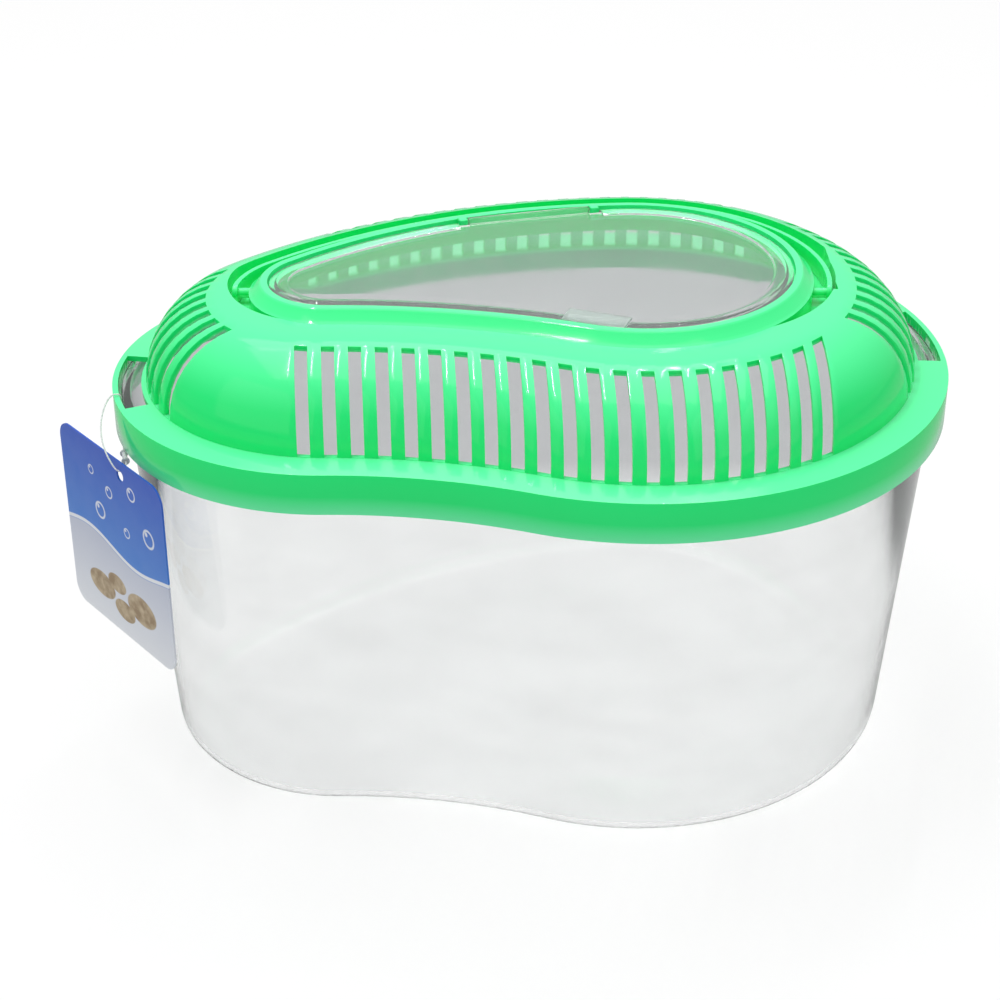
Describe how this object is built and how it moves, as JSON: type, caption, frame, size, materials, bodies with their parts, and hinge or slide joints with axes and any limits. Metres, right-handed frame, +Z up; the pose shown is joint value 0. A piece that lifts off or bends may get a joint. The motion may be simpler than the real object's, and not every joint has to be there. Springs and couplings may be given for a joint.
{
  "type": "vented pet keeper tank",
  "caption": "Clear kidney-shaped small-animal tank with a green vented lift-off lid, hinged clear hatch, folding carry handle and a hang tag.",
  "frame": {"origin": "on the surface it stands on, under the middle of the lid's rim", "axes": "+X along the length to the larger lobe, +Z up, the hollow side faces -Y"},
  "size_m": [0.2883, 0.202, 0.1641],
  "materials": {
    "clear_plastic": "clear polystyrene, polished, faint scuffs",
    "green_plastic": "bright green moulded plastic, satin gloss",
    "hatch_plastic": "clear polystyrene, polished",
    "handle_plastic": "bright green moulded plastic, satin gloss",
    "tag_card": "coated printed card",
    "nylon": "clear-white nylon"
  },
  "bodies": {
    "tank": {"tank": "clear_plastic"},
    "lid": {"vented_lid": "green_plastic", "tag_loop": "nylon", "loop_lock": "nylon"},
    "hatch": {"hatch": "hatch_plastic"},
    "handle": {"handle": "handle_plastic"},
    "tag": {"hang_tag": "tag_card"}
  },
  "joints": [
    {"name": "lid_lift", "type": "slide", "parent": "tank", "child": "lid", "axis": [0, 0, 1], "range_m": [0, 0.06]},
    {"name": "hatch_hinge", "type": "hinge", "parent": "lid", "child": "hatch", "pos_m": [-0.00093, 0.04172, 0.1628], "axis": [-0.969, -0.247, 0], "range_deg": [0, 100]},
    {"name": "handle_pivot", "type": "hinge", "parent": "lid", "child": "handle", "pos_m": [0, -0.0084, 0.1566], "axis": [1, 0, 0], "range_deg": [0, 95]},
    {"name": "tag_swing", "type": "hinge", "parent": "lid", "child": "tag", "pos_m": [-0.12898, -0.05018, 0.113], "axis": [-0.7771, -0.6293, 0], "range_deg": [-20, 20]}
  ]
}
